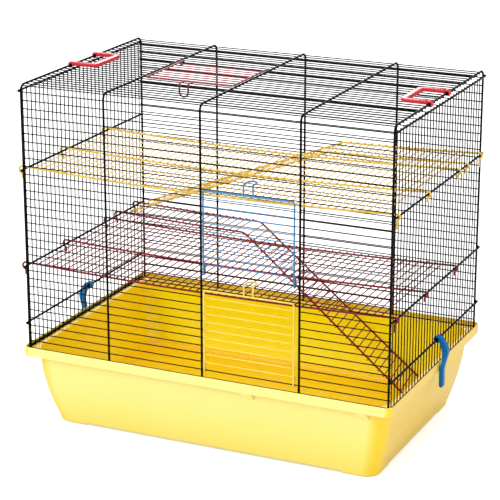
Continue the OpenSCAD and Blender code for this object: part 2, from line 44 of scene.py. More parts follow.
TRAY_L, TRAY_W, TRAY_H = 500.0, 330.0, 107.0
TRAY_WALL, FLOOR_T, FLOOR_Z = 2.0, 2.0, 13.0
RIM_BAND, LIP_T, LIP_RISE, LEDGE_W = 12.0, 1.8, 4.7, 9.6
WALL_LEAN, WALL_BOW = 18.4, 1.8
RIM_R, WALL_R, BASE_R = 10.0, 25.0, 20.0
BASE_ROUND, FLOOR_FILLET, FOOT_H, FOOT_L = 4.5, 5.0, 2.0, 24.0

THICK, THIN, SHELF, DOOR = 1.4, 0.75, 1.3, 1.1  # wire radii
THICK_SIDES, THIN_SIDES = 14, 8  # flat sides of a round wire
UNCUT = (False, False)  # ends of a wire that runs on in another piece or bend
WELD = 0.25  # how deep welded wires lie in each other
ROOF_Z, HOOP_BEND, HOOP_GAP = 446.0, 8.0, 129.0
HOOP_X, HOOP_Y = 243.4, 157.1
LEVEL_X = 246.5  # level wires of the side panels
PITCH, SIDE_PITCH, SHELF_PITCH = 10.44, 10.1, 10.0
FRONT_ROWS, ROOF_ROWS = 32, 30  # number of the front's last row, count of the roof's rows
SIDE_HALF, CROSS_HALF = 15, 23  # side wires and shelf cross wires to one side of the middle
UPPER_DOOR_ROWS, LOWER_DOOR_ROWS, ROOF_DOOR_ROWS = (10, 19), (22, 31), (10, 19)  # first row cut, hinge row
FIRST_ROW_DROP, SIDE_RISE = 9.1, 1.5  # first mesh wire below the roof, side mesh above its top wire
MESH_Y, MESH_Z = 155.2, 444.1
FOOT_Z = 102.6  # lower ends of the hood's wires, 0.3 over the tray's ledge
OVERRUN = 1.4  # how far mesh wires pass the middle of a hoop
HOOPS = [-HOOP_X, -HOOP_GAP, 0.0, HOOP_GAP, HOOP_X]
SIDE_LEVELS = [438.8, 337.6, 212.2, 137.4]
SHELF_Y = [-148.975, -47.066, 63.428, 93.425, 146.45]
UPPER_Z, LOWER_Z = 340.6, 215.2
CROSS_UP = SHELF + THIN - WELD
UPPER_BEND, LOWER_BEND = 60.0, -59.0  # x where landing and ramp meet
UPPER_SAG, LOWER_SAG = 6.3, 5.0  # how far the shelves hang down at mid-length in the photograph
HOOK_RING, HOOK_BACK, SHORT_TAIL, LONG_TAIL = 3.0, 4.0, 4.0, 9.0  # shelf hooks: two bends, tails
LEFT_HOOK = (SHORT_TAIL, 3.5, 4.5)  # tail, way out and ring of the hooks on the left, wider in the photograph
CROSS_OVER, BEND_ROUND = 1.8, 16.0  # how far cross wires stand over, and the bends' radius
LANDING_ROWS = (7, 23)  # cross wires that run on over the landing
UPPER_FOOT, LOWER_FOOT = (-230.0, 219.35), (175.0, 14.6)  # x and z of the ramps' feet
BACK_FOOT = (139.498, 26.6)  # y and z of the lower ramp's back foot, against the wall
DOOR_W, DOOR_H, DOOR_OFF, DOOR_CORNER = 118.5, 103.4, 2.15, 3.0
DOOR_RUNGS, FRONT_DOOR_X = 9, 62.55  # level wires in a door, middle of the front doors
LATCH_W, LATCH_H, LATCH_REACH, CURL_LEG = 12.0, 117.24, 14.0, 10.0
HOOK_R, BORE_R, MOUTH = 4.8, 1.5, 2.38  # snap hooks: outside of the clips' ones, bore and mouth of all
GRIP_REACH, GRIP_W, ARM_W, HANDLE_T, HANDLE_LOW, HANDLE_SPAN = 33.5, 8.0, 6.0, 5.0, -0.85, 62.64
CLIP_Y, CLIP_W, CLIP_T, RIM_FROM_HOOK, RIM_FOOT, TAB_L = 5.05, 8.0, 7.0, 3.8, -42.4, 20.5
HANDLE_EDGE, HANDLE_HOOK_EDGE, CLIP_EDGE, WEB_EDGE = 1.2, 0.8, 0.9, 0.35  # roundings of moulded edges


# Surfaces

def arc(centre, radius, first, last, steps):
    """Points of an arc in a plane: centre + radius (cos a, sin a), a from first to last in degrees."""
    a = np.radians(np.linspace(first, last, steps + 1))
    return np.array(centre) + radius * np.stack([np.cos(a), np.sin(a)], -1)


def placed(plane_path, starts, across, along):
    """A flat path carried to each start: start + p across + q along, for its points (p, q)."""
    p = np.asarray(plane_path, float)
    starts = np.asarray(starts, float).reshape(-1, 1, 3)
    return starts + p[None, :, :1] * np.array(across, float) + p[None, :, 1:] * np.array(along, float)


def unit(v):
    """Vectors of length 1 in the directions of v."""
    return v / np.linalg.norm(v, axis=-1, keepdims=True)


def grid_faces(rows, around):
    """Quads of a grid that closes around: point (r, c) is r around + c, and c + 1 wraps to 0."""
    row, col = np.meshgrid(np.arange(rows - 1), np.arange(around), indexing="ij")
    low, high, beside = row * around, (row + 1) * around, (col + 1) % around
    return np.stack([low + col, high + col, high + beside, low + beside], -1).reshape(-1, 4)


def round_wires(paths, radius, square_to, sides, cut=(True, True)):
    """Round wires along paths of equal point counts.

    Point = path + radius (cos a e1 + sin a e2), where e1 is the direction square_to made square
    to the path and e2 = path direction x e1. A cut end shrinks over 0.35 radius to a rounded face.
    """
    paths = np.asarray(paths, float)
    n, k, _ = paths.shape
    t = np.gradient(paths, axis=1)
    t[:, 0] = paths[:, 1] - paths[:, 0]
    t[:, -1] = paths[:, -1] - paths[:, -2]
    t = unit(t)
    inset, swell = np.array([0.0, 0.1, 0.35]) * radius, np.array([0.6, 0.88, 1.0])
    centres, rings, turns = [], [], []
    for side in (0, 1):
        end, sign = (0, 1.0) if side == 0 else (-1, -1.0)
        steps = inset if cut[side] else inset[:1]
        scale = swell if cut[side] else swell[2:]
        c = paths[:, end, None, :] + sign * steps[None, :, None] * t[:, end, None, :]
        d = np.repeat(t[:, end, None, :], len(steps), 1)
        if side:
            c, scale = c[:, ::-1], scale[::-1]
        centres.append(c)
        turns.append(d)
        rings.append(scale)
    centre = np.concatenate([centres[0], paths[:, 1:-1], centres[1]], 1)
    turn = np.concatenate([turns[0], t[:, 1:-1], turns[1]], 1)
    size = radius * np.concatenate([rings[0], np.ones(k - 2), rings[1]])
    e1 = np.array(square_to, float)
    e1 = unit(e1 - (turn @ e1)[..., None] * turn)
    e2 = np.cross(turn, e1)
    a = np.linspace(0, 2 * np.pi, sides, endpoint=False)
    ring = np.cos(a)[:, None] * e1[:, :, None, :] + np.sin(a)[:, None] * e2[:, :, None, :]
    skin = centre[:, :, None, :] + size[None, :, None, None] * ring
    m = centre.shape[1]
    verts = np.concatenate([skin.reshape(n, m * sides, 3), centre[:, :1], centre[:, -1:]], 1)
    quads = grid_faces(m, sides)[:, [0, 3, 2, 1]]
    s = np.arange(sides)
    s1 = (s + 1) % sides
    first = np.stack([np.full(sides, m * sides), s1, s], -1)
    last = np.stack([np.full(sides, m * sides + 1), (m - 1) * sides + s, (m - 1) * sides + s1], -1)
    step = np.arange(n) * (m * sides + 2)
    quads = (quads[None] + step[:, None, None]).reshape(-1, 4)
    caps = (np.concatenate([first, last])[None] + step[:, None, None]).reshape(-1, 3)
    return verts.reshape(-1, 3), quads, caps


def straight(a, b, radius, sides, cut=(True, True)):
    """Straight round wires from points a to points b."""
    a, b = np.asarray(a, float).reshape(-1, 3), np.asarray(b, float).reshape(-1, 3)
    d = unit(b[0] - a[0])
    square_to = np.eye(3)[np.argmin(np.abs(d))]
    return round_wires(np.stack([a, b], 1), radius, square_to, sides, cut)


def rounded_plate(outline, thick, edge, steps=4):
    """Plate between w = -thick/2 and thick/2 over a closed anticlockwise outline in u and v.

    Ring k is the outline moved in by edge (1 - cos a), at w = +-(thick/2 - edge (1 - sin a)).
    """
    p = np.asarray(outline, float)
    along = unit(np.roll(p, -1, 0) - p)
    out = np.stack([along[:, 1], -along[:, 0]], -1)
    before = np.roll(out, 1, 0)
    mitre = (out + before) / np.maximum(1 + (out * before).sum(-1, keepdims=True), 0.5)
    a = np.radians(np.linspace(90, 0, steps + 1))
    inset = edge * (1 - np.cos(a))
    high = thick / 2 - edge * (1 - np.sin(a))
    inset, w = np.concatenate([inset, inset[::-1]]), np.concatenate([high, -high[::-1]])
    n, m = len(p), len(w)
    flat = p[None] - inset[:, None, None] * mitre[None]
    verts = np.concatenate([flat, np.broadcast_to(w[:, None, None], (m, n, 1))], -1).reshape(-1, 3)
    return verts, grid_faces(m, n), np.arange(n)[None], ((m - 1) * n + np.arange(n))[None, ::-1]


def turned(part, turn, origin):
    """Carries a part by the columns of turn and puts it at origin; a mirror turns its faces too."""
    turn = np.array(turn, float)
    flip = -1 if np.linalg.det(turn) < 0 else 1
    return (part[0] @ turn.T + np.array(origin, float),) + tuple(np.asarray(b)[:, ::flip] for b in part[1:])


def skin(name, body, slot, nodes, parts, material, crease=40.0, marks=None):
    """Joins the parts' points and faces in one mesh, in metres, and hangs it on its body.

    Marks are numbers for each point, kept under a name that the finish reads.
    """
    step = np.cumsum([0] + [len(p[0]) for p in parts[:-1]])
    verts = np.concatenate([p[0] for p in parts]) * 0.001
    faces = []
    for part, s in zip(parts, step):
        for block in part[1:]:
            if len(block):
                faces += (np.asarray(block) + s).tolist()
    mesh = bpy.data.meshes.new(name)
    mesh.from_pydata(verts.tolist(), [], faces)
    mesh.validate()
    mesh.polygons.foreach_set("use_smooth", np.ones(len(mesh.polygons), bool))
    mesh.set_sharp_from_angle(angle=math.radians(crease))
    for mark, values in (marks or {}).items():
        mesh.attributes.new(mark, "FLOAT", "POINT").data.foreach_set("value", np.asarray(values, np.float32))
    mesh.materials.append(material)
    mesh.update()
    obj = bpy.data.objects.new(name, mesh)
    bpy.context.scene.collection.objects.link(obj)
    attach(obj, body)
    if nodes:
        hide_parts(*nodes)
    return obj


# Finishes

def new_finish(name):
    """A material with its nodes, links, main shader and the place on the piece that patterns read."""
    finish = bpy.data.materials.new(name)
    finish.use_nodes = True
    nodes, links = finish.node_tree.nodes, finish.node_tree.links
    shader = nodes["Principled BSDF"]
    place = nodes.new("ShaderNodeTexCoord")
    return finish, nodes, links, shader, place.outputs["Object"]


def noise(nodes, links, place, scale, detail=3.0, roughness=0.5):
    """Cloudy pattern with about scale clouds in each metre."""
    tex = nodes.new("ShaderNodeTexNoise")
    tex.inputs["Scale"].default_value = scale
    tex.inputs["Detail"].default_value = detail
    tex.inputs["Roughness"].default_value = roughness
    links.new(place, tex.inputs["Vector"])
    return tex.outputs["Fac"]


def shades(nodes, links, factor, low, high, at=(0.3, 0.7)):
    """Colour that runs from low to high while factor runs between the two values of at."""
    ramp = nodes.new("ShaderNodeValToRGB")
    ramp.color_ramp.elements[0].position, ramp.color_ramp.elements[1].position = at
    ramp.color_ramp.elements[0].color = (*low, 1.0)
    ramp.color_ramp.elements[1].color = (*high, 1.0)
    links.new(factor, ramp.inputs["Fac"])
    return ramp.outputs["Color"]


def spread(nodes, links, factor, low, high):
    """Number that runs from low to high while a cloudy pattern runs from 0.25 to 0.75."""
    rng = nodes.new("ShaderNodeMapRange")
    rng.inputs["From Min"].default_value, rng.inputs["From Max"].default_value = 0.25, 0.75
    rng.inputs["To Min"].default_value, rng.inputs["To Max"].default_value = low, high
    links.new(factor, rng.inputs["Value"])
    return rng.outputs["Result"]


def raised(nodes, links, shader, height, distance, strength):
    """Fine relief on the finish, distance metres high where height is 1."""
    bump = nodes.new("ShaderNodeBump")
    bump.inputs["Strength"].default_value = strength
    bump.inputs["Distance"].default_value = distance
    links.new(height, bump.inputs["Height"])
    links.new(bump.outputs["Normal"], shader.inputs["Normal"])


def srgb(code):
    """Linear colour of a six-digit colour code."""
    c = np.array([int(code[i : i + 2], 16) for i in (0, 2, 4)]) / 255.0
    return tuple(np.where(c <= 0.04045, c / 12.92, ((c + 0.055) / 1.055) ** 2.4).tolist())


def shaded(colour, factor):
    """The colour made darker or lighter by factor, up to full white."""
    return tuple(min(1.0, c * factor) for c in colour)


def blended(nodes, links, factor, low, high):
    """Colour between low and high, each a colour or a colour socket."""
    mix = nodes.new("ShaderNodeMix")
    mix.data_type = "RGBA"
    links.new(factor, mix.inputs[0])
    for socket, colour in ((mix.inputs[6], low), (mix.inputs[7], high)):
        if isinstance(colour, tuple):
            socket.default_value = (*colour, 1.0)
        else:
            links.new(colour, socket)
    return mix.outputs[2]


def mark(nodes, name):
    """The number that skin() kept under this name for each point."""
    attribute = nodes.new("ShaderNodeAttribute")
    attribute.attribute_name = name
    return attribute.outputs["Fac"]


def height_share(nodes, links, place, low, high):
    """0 at the height low and 1 at the height high, in metres."""
    split = nodes.new("ShaderNodeSeparateXYZ")
    links.new(place, split.inputs[0])
    share = nodes.new("ShaderNodeMapRange")
    share.interpolation_type = "SMOOTHSTEP"
    share.inputs["From Min"].default_value, share.inputs["From Max"].default_value = low, high
    links.new(split.outputs["Z"], share.inputs["Value"])
    return share.outputs["Result"]


def wire_coat(name, code, rough=(0.26, 0.4), contrast=0.12, coat=0.2, shine=0.5):
    """Baked coat on wire: a slightly uneven colour, an orange-peel skin and patches of sheen."""
    finish, nodes, links, shader, place = new_finish(name)
    colour = srgb(code)
    cloudy = noise(nodes, links, place, 55.0, 4.0)
    links.new(shades(nodes, links, cloudy, shaded(colour, 1 - contrast), shaded(colour, 1 + contrast)),
              shader.inputs["Base Color"])
    links.new(spread(nodes, links, noise(nodes, links, place, 160.0), *rough), shader.inputs["Roughness"])
    shader.inputs["Specular IOR Level"].default_value = shine
    shader.inputs["Coat Weight"].default_value = coat
    shader.inputs["Coat Roughness"].default_value = 0.2
    raised(nodes, links, shader, noise(nodes, links, place, 900.0, 2.0), 0.00006, 0.6)
    return finish


def moulded(name, code, deep, rough, shine=0.5):
    """Moulded plastic: broad flow shades from deep to code, a fine grain and uneven sheen."""
    finish, nodes, links, shader, place = new_finish(name)
    broad = noise(nodes, links, place, 30.0, 3.0, 0.45)
    links.new(shades(nodes, links, broad, srgb(deep), srgb(code), (0.35, 0.6)), shader.inputs["Base Color"])
    links.new(spread(nodes, links, noise(nodes, links, place, 60.0, 4.0), *rough), shader.inputs["Roughness"])
    shader.inputs["Specular IOR Level"].default_value = shine
    raised(nodes, links, shader, noise(nodes, links, place, 1500.0, 2.0), 0.00003, 0.5)
    return finish


def tray_plastic():
    """Yellow plastic with painted light and shade: a pale outside with painted sheen, deeper at the upright
    corners and inside the tray.
    """
    finish, nodes, links, shader, place = new_finish("tray_plastic")
    broad = noise(nodes, links, place, 7.0, 3.0, 0.45)
    # painted light: the outside paler towards the top, deeper towards the base
    rise = height_share(nodes, links, place, 0.0, 0.1)
    outside = blended(nodes, links, rise, srgb("F8E36F"), srgb("F9E98B"))
    # painted shade: the end walls' outsides darker than the front and back
    outside = blended(nodes, links, mark(nodes, "end"), outside, srgb("EECB58"))
    # painted shade: a deeper yellow band down each upright corner
    outside = blended(nodes, links, mark(nodes, "bend"), outside, srgb("FBD430"))
    # painted light and shade: the back wall inside bright yellow, the end walls a shaded golden
    inside = blended(nodes, links, mark(nodes, "end"), srgb("FFEC06"), srgb("FFE01C"))
    # painted shade: the floor inside a deeper golden than the walls
    above_floor = height_share(nodes, links, place, 0.0135, 0.024)
    inside = blended(nodes, links, above_floor, srgb("FFD21A"), inside)
    # painted light and shade: the ledge a paler tan, as it looks under the light and the wires' shadows
    at_ledge = height_share(nodes, links, place, 0.1, 0.102)
    inside = blended(nodes, links, at_ledge, inside, srgb("FFD848"))
    # painted light: the lip's inner face a lit golden yellow
    at_lip = height_share(nodes, links, place, 0.1026, 0.1034)
    inside = blended(nodes, links, at_lip, inside, srgb("FFDC30"))
    # painted light: the inside deep yellow for light bounced in the tray and shone through its walls, the
    # outside pale with painted sheen
    whole = blended(nodes, links, mark(nodes, "within"), outside, inside)
    cloudy = nodes.new("ShaderNodeHueSaturation")
    links.new(spread(nodes, links, broad, 0.97, 1.03), cloudy.inputs["Saturation"])
    links.new(whole, cloudy.inputs["Color"])
    links.new(cloudy.outputs[0], shader.inputs["Base Color"])
    sheen = noise(nodes, links, place, 60.0, 4.0)
    links.new(spread(nodes, links, sheen, 0.3, 0.42), shader.inputs["Roughness"])
    raised(nodes, links, shader, noise(nodes, links, place, 1100.0, 2.0), 0.00005, 0.5)
    return finish


BLACK = wire_coat("black_wire_coat", "030304", rough=(0.16, 0.28), contrast=0.3, coat=0.0, shine=0.08)
YELLOW = wire_coat("upper_shelf_coat", "ECC44C", shine=0.35)
CRIMSON = wire_coat("lower_shelf_coat", "861424", coat=0.08, shine=0.25)
BLUE = wire_coat("upper_door_coat", "3E7CAA", shine=0.35)
PALE = wire_coat("lower_door_coat", "EECE4C")
SCARLET = wire_coat("roof_door_coat", "86182A")
TRAY_YELLOW = tray_plastic()
CORAL = moulded("handle_plastic", "D4303C", "CA2A36", (0.2, 0.3))
AZURE = moulded("clip_plastic", "0070B4", "0066A6", (0.3, 0.42), shine=0.2)


# Wire hood

def front_z(row):
    """Height of a level mesh wire at the front or back, row 0 uppermost and the last beside the foot."""
    row = np.asarray(row, float)
    return np.where(row < FRONT_ROWS, ROOF_Z - FIRST_ROW_DROP - row * PITCH, FOOT_Z + THIN + WELD / 2)


def across_rows(x0, x1, y, z, cut=(True, True)):
    """Thin level wires from x0 to x1 at each (y, z)."""
    y, z = np.broadcast_arrays(np.asarray(y, float), np.asarray(z, float))
    a = np.stack([np.full(y.shape, x0), y, z], -1)
    b = np.stack([np.full(y.shape, x1), y, z], -1)
    return straight(a, b, THIN, THIN_SIDES, cut)


def upright_panel(rows, x0, x1, y, legs, cut=(True, True)):
    """Front or back panel: level wires of these rows from x0 to x1, and hoop legs at these x."""
    parts = [across_rows(x0, x1, y, front_z(rows), cut)]
    if legs:
        feet = np.array([[x, math.copysign(HOOP_Y, y), FOOT_Z] for x in legs])
        bends = feet + [0, 0, ROOF_Z - HOOP_BEND - FOOT_Z]
        parts.append(straight(feet, bends, THICK, THICK_SIDES, (True, False)))
    return parts


def hoop_roofs(xs):
    """Roof stretches of the hoops: a corner bend, the straight roof wire and a second bend."""
    flat = HOOP_Y - HOOP_BEND
    bend_z = ROOF_Z - HOOP_BEND
    path = np.concatenate([
        arc((-flat, bend_z), HOOP_BEND, 180, 90, 8),
        arc((flat, bend_z), HOOP_BEND, 90, 0, 8),
    ])
    starts = [[x, 0, 0] for x in xs]
    paths = placed(path, starts, (0, 1, 0), (0, 0, 1))
    return round_wires(paths, THICK, (1, 0, 0), THICK_SIDES, UNCUT)


def roof_y(row):
    """Depth of a roof wire, row 0 nearest the front."""
    return (np.asarray(row, float) - (ROOF_ROWS - 1) / 2) * PITCH


def roof_panel(rows, x0, x1, hoops, cut=(True, True)):
    """Roof panel: level wires of these rows from x0 to x1, and the hoops' roof stretches at these x."""
    parts = [across_rows(x0, x1, roof_y(rows), MESH_Z, cut)]
    if hoops:
        parts.append(hoop_roofs(hoops))
    return parts


def hood_skin(name, node, parts):
    """A piece of the welded hood, in black wire."""
    skin(name, "hood", "black_wire", [node], parts, BLACK)


left_end, mid_left, mid, right_mid, right_end = (
    HOOPS[0] - OVERRUN, HOOPS[1] + OVERRUN, HOOPS[2] + OVERRUN, HOOPS[3] - OVERRUN, HOOPS[4] + OVERRUN)
whole_front, whole_roof = np.arange(FRONT_ROWS + 1), np.arange(ROOF_ROWS)
top_rows = np.arange(UPPER_DOOR_ROWS[0])
middle_rows = np.arange(UPPER_DOOR_ROWS[1], LOWER_DOOR_ROWS[0])
bottom_rows = np.arange(LOWER_DOOR_ROWS[1], FRONT_ROWS + 1)
roof_front_rows = np.arange(ROOF_DOOR_ROWS[0])
roof_back_rows = np.arange(ROOF_DOOR_ROWS[1], ROOF_ROWS)

hood_skin("front_left_wires", "front_left_grille",
          upright_panel(whole_front, left_end, mid, -MESH_Y, HOOPS[:3]))
hood_skin("front_right_wires", "front_right_grille",
          upright_panel(whole_front, right_mid, right_end, -MESH_Y, HOOPS[3:]))
hood_skin("front_top_wires", "front_top_grille",
          upright_panel(top_rows, mid, right_mid, -MESH_Y, [], UNCUT))
hood_skin("front_middle_wires", "front_mid_grille",
          upright_panel(middle_rows, mid, right_mid, -MESH_Y, [], UNCUT))
hood_skin("front_bottom_wires", "front_bottom_grille",
          upright_panel(bottom_rows, mid, right_mid, -MESH_Y, [], UNCUT))
hood_skin("back_wires", "back_grille",
          upright_panel(whole_front, left_end, right_end, MESH_Y, HOOPS))
hood_skin("roof_left_wires", "roof_left_grille",
          roof_panel(whole_roof, left_end, mid_left, HOOPS[:2]))
hood_skin("roof_right_wires", "roof_right_grille",
          roof_panel(whole_roof, HOOPS[2] - OVERRUN, right_end, HOOPS[2:]))
hood_skin("roof_front_wires", "roof_front_grille",
          roof_panel(roof_front_rows, mid_left, HOOPS[2] - OVERRUN, [], UNCUT))
hood_skin("roof_back_wires", "roof_back_grille",
          roof_panel(roof_back_rows, mid_left, HOOPS[2] - OVERRUN, [], UNCUT))


def side_panel(side):
    """Side panel at the right (1) or left (-1): upright thin wires and hooked level wires."""
    thin_x = LEVEL_X - (THICK + THIN - WELD)
    y = np.arange(-SIDE_HALF, SIDE_HALF + 1) * SIDE_PITCH
    low = np.stack([np.full(len(y), side * thin_x), y, np.full(len(y), FOOT_Z)], -1)
    high = low + [0, 0, SIDE_LEVELS[0] + SIDE_RISE - FOOT_Z]
    reach = LEVEL_X - HOOP_X
    hooked = np.concatenate([
        arc((HOOP_X, -HOOP_Y), reach, -90, 0, 8),
        arc((HOOP_X, HOOP_Y), reach, 0, 90, 8),
    ])
    levels = placed(hooked, [[0, 0, z] for z in SIDE_LEVELS], (side, 0, 0), (0, 1, 0))
    half = SIDE_HALF * SIDE_PITCH + 2 * THIN
    foot_z = FOOT_Z + THICK
    return [
        straight(low, high, THIN, THIN_SIDES),
        round_wires(levels, THICK, (0, 0, 1), THICK_SIDES),
        straight([side * LEVEL_X, -half, foot_z], [side * LEVEL_X, half, foot_z], THICK, THICK_SIDES),
    ]


hood_skin("left_side_wires", "left_side_grille", side_panel(-1))
hood_skin("right_side_wires", "right_side_grille", side_panel(1))


# Shelves and ramps

def hook_path(z, tail, out=0.0, ring=HOOK_RING):
    """Right-hand hook of a shelf wire in x and z, from the wire's height down to its tail's tip.

    The wire turns 150 degrees on the ring radius, then 60 degrees back on HOOK_BACK.
    """
    level, both = z - ring, ring + HOOK_BACK
    turn = (LEVEL_X + out + both * math.cos(math.radians(60)), level - both * math.sin(math.radians(60)))
    return np.concatenate([
        arc((LEVEL_X + out, level), ring, 90, -60, 14),
        arc(turn, HOOK_BACK, 120, 180, 6)[1:],
        [[turn[0] - HOOK_BACK, turn[1] - tail]],
    ])


def drop(x, sag):
    """How far a shelf hangs down at x: sag (1 - (x / LEVEL_X)^2) between the side panels."""
    return sag * np.clip(1 - (np.asarray(x, float) / LEVEL_X) ** 2, 0, 1)


def level_run(x0, x1, z):
    """Points of a level wire between x0 and x1, one every 20 mm or so, without its ends."""
    x = np.linspace(x0, x1, int(abs(x1 - x0) // 20) + 2)[1:-1]
    return np.stack([x, np.full(len(x), z)], -1)


def shelf_deck(z, side, sag):
    """Deck wires of a shelf whose landing lies on that side, and cross wires that run on over it."""
    parts = []
    for y, tail in zip(SHELF_Y[:3], (LONG_TAIL, SHORT_TAIL, SHORT_TAIL)):
        left, right = hook_path(z, *LEFT_HOOK), hook_path(z, tail)
        path = np.concatenate([left[::-1] * [-1, 1], level_run(-LEVEL_X, LEVEL_X, z), right])
        path[:, 1] -= drop(path[:, 0], sag)
        path = placed(path, [0, y, 0], (1, 0, 0), (0, 0, 1))
        parts.append(round_wires(path, SHELF, (0, 1, 0), THICK_SIDES))
    k = np.arange(-CROSS_HALF, CROSS_HALF + 1)
    beside = (k * side >= LANDING_ROWS[0]) & (k * side <= LANDING_ROWS[1])
    for group, cut in ((k[~beside], (True, True)), (k[beside], (True, False))):
        x = group * SHELF_PITCH
        a = np.stack([x, np.full(len(x), SHELF_Y[0] - CROSS_OVER), z + CROSS_UP - drop(x, sag)], -1)
        b = a + [0, SHELF_Y[2] - SHELF_Y[0] + 2 * CROSS_OVER, 0]
        parts.append(straight(a, b, THIN, THIN_SIDES, cut))
    return parts


def shelf_landing(z, side, bend_x, slope, sag):
    """Landing of a shelf: two hooked long wires up to the middle of the bend, and cross wires."""
    parts = []
    back = BEND_ROUND * math.tan(slope / 2)
    corner = arc((side * bend_x + back, z - BEND_ROUND), BEND_ROUND, 90 + math.degrees(slope) / 2, 90, 5)
    for y, tail in zip(SHELF_Y[3:], (SHORT_TAIL, LONG_TAIL)):
        hook = hook_path(z, tail) if side > 0 else hook_path(z, *LEFT_HOOK)
        path = np.concatenate([corner, level_run(corner[-1, 0], LEVEL_X, z), hook])
        path[:, 1] -= drop(path[:, 0], sag)
        path = placed(path, [0, y, 0], (side, 0, 0), (0, 0, 1))
        parts.append(round_wires(path, SHELF, (0, 1, 0), THICK_SIDES, (False, True)))
    x = np.arange(LANDING_ROWS[0], LANDING_ROWS[1] + 1) * side * SHELF_PITCH
    a = np.stack([x, np.full(len(x), SHELF_Y[2] + CROSS_OVER), z + CROSS_UP - drop(x, sag)], -1)
    b = a + [0, SHELF_Y[4] - SHELF_Y[2], 0]
    parts.append(straight(a, b, THIN, THIN_SIDES, (False, True)))
    return parts


def shelf_ramp(z, side, bend_x, foot, back_foot, slope, sag):
    """Ramp: two long wires from the middle of the bend down to the foot, and its rungs.

    The foot is the front wire's x and z, back_foot the back wire's y and z at the same x.
    """
    top_z = z - drop(bend_x, sag)
    tops = np.array([[bend_x, SHELF_Y[3], top_z], [bend_x, SHELF_Y[4], top_z]])
    feet = np.array([[foot[0], SHELF_Y[3], foot[1]], [foot[0], *back_foot]])
    parts = []
    back = BEND_ROUND * math.tan(slope / 2)
    for top, low in zip(tops, feet):
        fall = low - top
        level = np.array([-side, 0.0, 0.0])
        down = unit(fall - (fall @ level) * level)
        angle = math.degrees(math.atan2(fall @ down, fall @ level))
        path = np.concatenate([
            arc((-back, BEND_ROUND), BEND_ROUND, -90 + math.degrees(slope) / 2, -90 + angle, 5),
            [[fall @ level, fall @ down]],
        ])
        path = placed(path, top, level, down)
        parts.append(round_wires(path, SHELF, np.cross(level, down), THICK_SIDES, (False, True)))
    run = np.linalg.norm(feet[0] - tops[0])
    count = int((run - 2 * SHELF) // SHELF_PITCH)
    t = ((np.arange(count) + 0.5) * SHELF_PITCH / run)[:, None]
    up = unit(np.cross(feet[0] - tops[0], [0, side, 0]))
    a = tops[0] + t * (feet[0] - tops[0]) + CROSS_UP * up
    b = tops[1] + t * (feet[1] - tops[1]) + CROSS_UP * up
    over = unit(b - a) * CROSS_OVER
    for low, high in zip(a - over, b + over):
        parts.append(straight(low, high, THIN, THIN_SIDES))
    return parts


UPPER_SLOPE = math.atan2(UPPER_Z - UPPER_FOOT[1], UPPER_BEND - UPPER_FOOT[0])
LOWER_SLOPE = math.atan2(LOWER_Z - LOWER_FOOT[1], LOWER_FOOT[0] - LOWER_BEND)
upper_foot = (UPPER_FOOT[0], UPPER_FOOT[1] - drop(UPPER_FOOT[0], LOWER_SAG))
upper_back_foot = (SHELF_Y[4], upper_foot[1])

skin("upper_shelf_deck_wires", "hood", "yellow_wire", ["upper_shelf_deck"],
     shelf_deck(UPPER_Z, 1, UPPER_SAG), YELLOW)
skin("upper_shelf_landing_wires", "hood", "yellow_wire", ["upper_shelf_landing"],
     shelf_landing(UPPER_Z, 1, UPPER_BEND, UPPER_SLOPE, UPPER_SAG), YELLOW)
skin("upper_ramp_wires", "hood", "yellow_wire", ["upper_shelf_ramp"],
     shelf_ramp(UPPER_Z, 1, UPPER_BEND, upper_foot, upper_back_foot, UPPER_SLOPE, UPPER_SAG), YELLOW)
skin("lower_shelf_deck_wires", "hood", "red_wire", ["lower_shelf_deck"],
     shelf_deck(LOWER_Z, -1, LOWER_SAG), CRIMSON)
skin("lower_shelf_landing_wires", "hood", "red_wire", ["lower_shelf_landing"],
     shelf_landing(LOWER_Z, -1, LOWER_BEND, LOWER_SLOPE, LOWER_SAG), CRIMSON)
skin("lower_ramp_wires", "hood", "red_wire", ["lower_shelf_ramp"],
     shelf_ramp(LOWER_Z, -1, LOWER_BEND, LOWER_FOOT, BACK_FOOT, LOWER_SLOPE, LOWER_SAG), CRIMSON)


# Doors

def door_parts():
    """Door lying in x and y: hinge wire on the x axis, latch towards +y, outside +z."""
    half, latch = DOOR_W / 2, LATCH_W / 2
    curl = arc((0, 0), DOOR_OFF, 270, 90, 12)
    leg = np.concatenate([[[CURL_LEG, -DOOR_OFF]], curl])
    left = np.stack([np.full(len(leg), -half), leg[:, 0], leg[:, 1]], -1)
    top = np.concatenate([
        arc((DOOR_CORNER - half, DOOR_H - DOOR_CORNER), DOOR_CORNER, 180, 90, 8),
        arc((half - DOOR_CORNER, DOOR_H - DOOR_CORNER), DOOR_CORNER, 90, 0, 8),
    ])
    top = np.concatenate([top, np.full((len(top), 1), DOOR_OFF)], 1)
    frame_path = np.concatenate([left, top, left[::-1] * [-1, 1, 1]])
    bend = arc((LATCH_H - DOOR_OFF, 0), DOOR_OFF, 90, 0, 6)
    bend = np.concatenate([[[DOOR_H, DOOR_OFF]], bend])
    rise = np.stack([np.full(len(bend), -latch), bend[:, 0], bend[:, 1]], -1)
    loop = arc((0, latch - LATCH_REACH), latch, 180, 360, 12)
    loop = np.stack([loop[:, 0], np.full(len(loop), LATCH_H), loop[:, 1]], -1)
    latch_path = np.concatenate([rise, loop, rise[::-1] * [-1, 1, 1]])
    rungs = np.arange(1, DOOR_RUNGS + 1) * PITCH
    a = np.stack([0 * rungs - half - THIN, rungs, 0 * rungs + DOOR_OFF - (DOOR + THIN - WELD)], -1)
    return [
        round_wires(frame_path[None], DOOR, (1, 0, 1), THICK_SIDES),
        round_wires(latch_path[None], DOOR, (1, 1, 0), THICK_SIDES, UNCUT),
        straight(a, a + [DOOR_W + 2 * THIN, 0, 0], THIN, THIN_SIDES),
    ]


def door_skin(name, body, slot, turn, origin, material):
    """Hangs a door of its own body and node in the hood, by its hinge wire's middle."""
    skin(name, body, slot, [body], [turned(part, turn, origin) for part in door_parts()], material)


